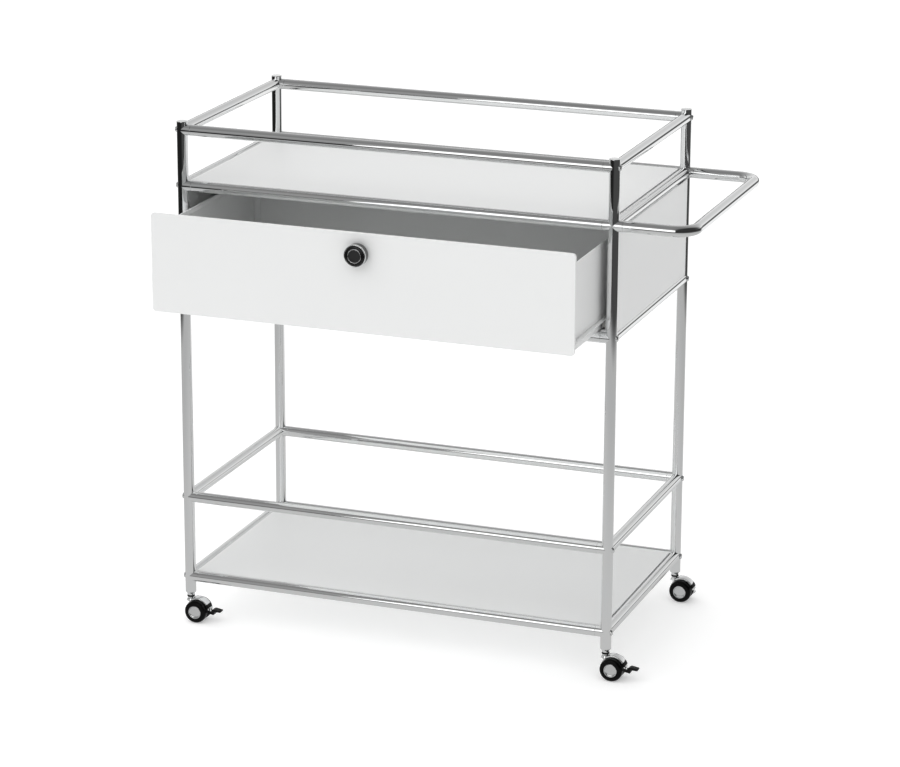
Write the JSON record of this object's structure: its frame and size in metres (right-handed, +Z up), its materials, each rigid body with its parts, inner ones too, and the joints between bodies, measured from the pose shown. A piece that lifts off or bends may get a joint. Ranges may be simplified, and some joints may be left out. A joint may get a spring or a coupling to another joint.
{
  "type": "bar cart",
  "caption": "Bar cart on twin-wheel casters: chromed tube frame, white sheet shelves, a drawer on roller runners and a push handle.",
  "frame": {"origin": "middle of the underside of the bounding box at rest, on the floor, with the drawer open by 142 mm", "axes": "+X towards the push handle, -Y towards the drawer front, +Z up"},
  "size_m": [0.873, 0.5698, 0.855],
  "materials": {
    "chrome": "polished chrome plate on steel tube",
    "white_coat": "white powder coat, low gloss",
    "nylon": "white nylon",
    "black_gloss": "black gloss plastic",
    "wheel_rubber": "black rubber tread on a grey plastic hub",
    "black_plastic": "black satin plastic"
  },
  "bodies": {
    "cart_frame": {"post_front_left": "chrome", "post_front_right": "chrome", "post_back_left": "chrome", "post_back_right": "chrome", "lower_shelf_rail_front": "chrome", "lower_shelf_rail_back": "chrome", "lower_shelf_rail_left": "chrome", "lower_shelf_rail_right": "chrome", "lower_gallery_rail_front": "chrome", "lower_gallery_rail_back": "chrome", "lower_gallery_rail_left": "chrome", "lower_gallery_rail_right": "chrome", "drawer_bay_rail_front": "chrome", "drawer_bay_rail_back": "chrome", "drawer_bay_rail_left": "chrome", "drawer_bay_rail_right": "chrome", "upper_shelf_rail_front": "chrome", "upper_shelf_rail_back": "chrome", "upper_shelf_rail_left": "chrome", "upper_shelf_rail_right": "chrome", "upper_gallery_rail_front": "chrome", "upper_gallery_rail_back": "chrome", "upper_gallery_rail_left": "chrome", "upper_gallery_rail_right": "chrome", "push_handle": "chrome", "upper_shelf": "white_coat", "lower_shelf": "white_coat", "bay_floor": "white_coat", "bay_back": "white_coat", "bay_side_left": "white_coat", "bay_side_right": "white_coat", "cabinet_runner_left": "white_coat", "cabinet_runner_right": "white_coat"},
    "drawer": {"drawer_front": "white_coat", "drawer_side_left": "white_coat", "drawer_side_right": "white_coat", "drawer_back": "white_coat", "drawer_floor": "white_coat", "drawer_runner_left": "white_coat", "drawer_runner_right": "white_coat", "knob_base": "chrome", "knob_cap": "black_gloss"},
    "front_roller_left": {"front_roller_left": "nylon"},
    "rear_roller_left": {"rear_roller_left": "nylon"},
    "front_roller_right": {"front_roller_right": "nylon"},
    "rear_roller_right": {"rear_roller_right": "nylon"},
    "caster_front_left": {"caster_housing_front_left": "chrome"},
    "wheel_outer_front_left": {"wheel_outer_front_left": "wheel_rubber"},
    "wheel_inner_front_left": {"wheel_inner_front_left": "wheel_rubber"},
    "brake_pedal_front_left": {"brake_pedal_front_left": "black_plastic"},
    "caster_front_right": {"caster_housing_front_right": "chrome"},
    "wheel_outer_front_right": {"wheel_outer_front_right": "wheel_rubber"},
    "wheel_inner_front_right": {"wheel_inner_front_right": "wheel_rubber"},
    "brake_pedal_front_right": {"brake_pedal_front_right": "black_plastic"},
    "caster_back_left": {"caster_housing_back_left": "chrome"},
    "wheel_outer_back_left": {"wheel_outer_back_left": "wheel_rubber"},
    "wheel_inner_back_left": {"wheel_inner_back_left": "wheel_rubber"},
    "caster_back_right": {"caster_housing_back_right": "chrome"},
    "wheel_outer_back_right": {"wheel_outer_back_right": "wheel_rubber"},
    "wheel_inner_back_right": {"wheel_inner_back_right": "wheel_rubber"}
  },
  "joints": [
    {"name": "drawer_slide", "type": "slide", "parent": "cart_frame", "child": "drawer", "axis": [0, -1, 0], "range_m": [-0.142, 0.13]},
    {"name": "front_roller_left_spin", "type": "hinge", "parent": "cart_frame", "child": "front_roller_left", "pos_m": [-0.41175, -0.1028, 0.5861], "axis": [1, 0, 0], "continuous": true},
    {"name": "rear_roller_left_spin", "type": "hinge", "parent": "drawer", "child": "rear_roller_left", "pos_m": [-0.41175, 0.1032, 0.5854], "axis": [1, 0, 0], "continuous": true},
    {"name": "front_roller_right_spin", "type": "hinge", "parent": "cart_frame", "child": "front_roller_right", "pos_m": [0.28675, -0.1028, 0.5861], "axis": [1, 0, 0], "continuous": true},
    {"name": "rear_roller_right_spin", "type": "hinge", "parent": "drawer", "child": "rear_roller_right", "pos_m": [0.28675, 0.1032, 0.5854], "axis": [1, 0, 0], "continuous": true},
    {"name": "caster_front_left_swivel", "type": "hinge", "parent": "cart_frame", "child": "caster_front_left", "pos_m": [-0.4275, -0.1178, 0.048], "axis": [0, 0, 1], "continuous": true},
    {"name": "wheel_outer_front_left_spin", "type": "hinge", "parent": "caster_front_left", "child": "wheel_outer_front_left", "pos_m": [-0.414, -0.12875, 0.019], "axis": [0, 1, 0], "continuous": true},
    {"name": "wheel_inner_front_left_spin", "type": "hinge", "parent": "caster_front_left", "child": "wheel_inner_front_left", "pos_m": [-0.414, -0.10685, 0.019], "axis": [0, 1, 0], "continuous": true},
    {"name": "brake_pedal_front_left_rock", "type": "hinge", "parent": "caster_front_left", "child": "brake_pedal_front_left", "pos_m": [-0.392, -0.1178, 0.0172], "axis": [0, -1, 0], "range_deg": [0, 15]},
    {"name": "caster_front_right_swivel", "type": "hinge", "parent": "cart_frame", "child": "caster_front_right", "pos_m": [0.3025, -0.1178, 0.048], "axis": [0, 0, 1], "continuous": true},
    {"name": "wheel_outer_front_right_spin", "type": "hinge", "parent": "caster_front_right", "child": "wheel_outer_front_right", "pos_m": [0.316, -0.12875, 0.019], "axis": [0, 1, 0], "continuous": true},
    {"name": "wheel_inner_front_right_spin", "type": "hinge", "parent": "caster_front_right", "child": "wheel_inner_front_right", "pos_m": [0.316, -0.10685, 0.019], "axis": [0, 1, 0], "continuous": true},
    {"name": "brake_pedal_front_right_rock", "type": "hinge", "parent": "caster_front_right", "child": "brake_pedal_front_right", "pos_m": [0.338, -0.1178, 0.0172], "axis": [0, -1, 0], "range_deg": [0, 15]},
    {"name": "caster_back_left_swivel", "type": "hinge", "parent": "cart_frame", "child": "caster_back_left", "pos_m": [-0.4275, 0.2672, 0.048], "axis": [0, 0, 1], "continuous": true},
    {"name": "wheel_outer_back_left_spin", "type": "hinge", "parent": "caster_back_left", "child": "wheel_outer_back_left", "pos_m": [-0.414, 0.27815, 0.019], "axis": [0, 1, 0], "continuous": true},
    {"name": "wheel_inner_back_left_spin", "type": "hinge", "parent": "caster_back_left", "child": "wheel_inner_back_left", "pos_m": [-0.414, 0.25625, 0.019], "axis": [0, 1, 0], "continuous": true},
    {"name": "caster_back_right_swivel", "type": "hinge", "parent": "cart_frame", "child": "caster_back_right", "pos_m": [0.3025, 0.2672, 0.048], "axis": [0, 0, 1], "continuous": true},
    {"name": "wheel_outer_back_right_spin", "type": "hinge", "parent": "caster_back_right", "child": "wheel_outer_back_right", "pos_m": [0.316, 0.27815, 0.019], "axis": [0, 1, 0], "continuous": true},
    {"name": "wheel_inner_back_right_spin", "type": "hinge", "parent": "caster_back_right", "child": "wheel_inner_back_right", "pos_m": [0.316, 0.25625, 0.019], "axis": [0, 1, 0], "continuous": true}
  ]
}
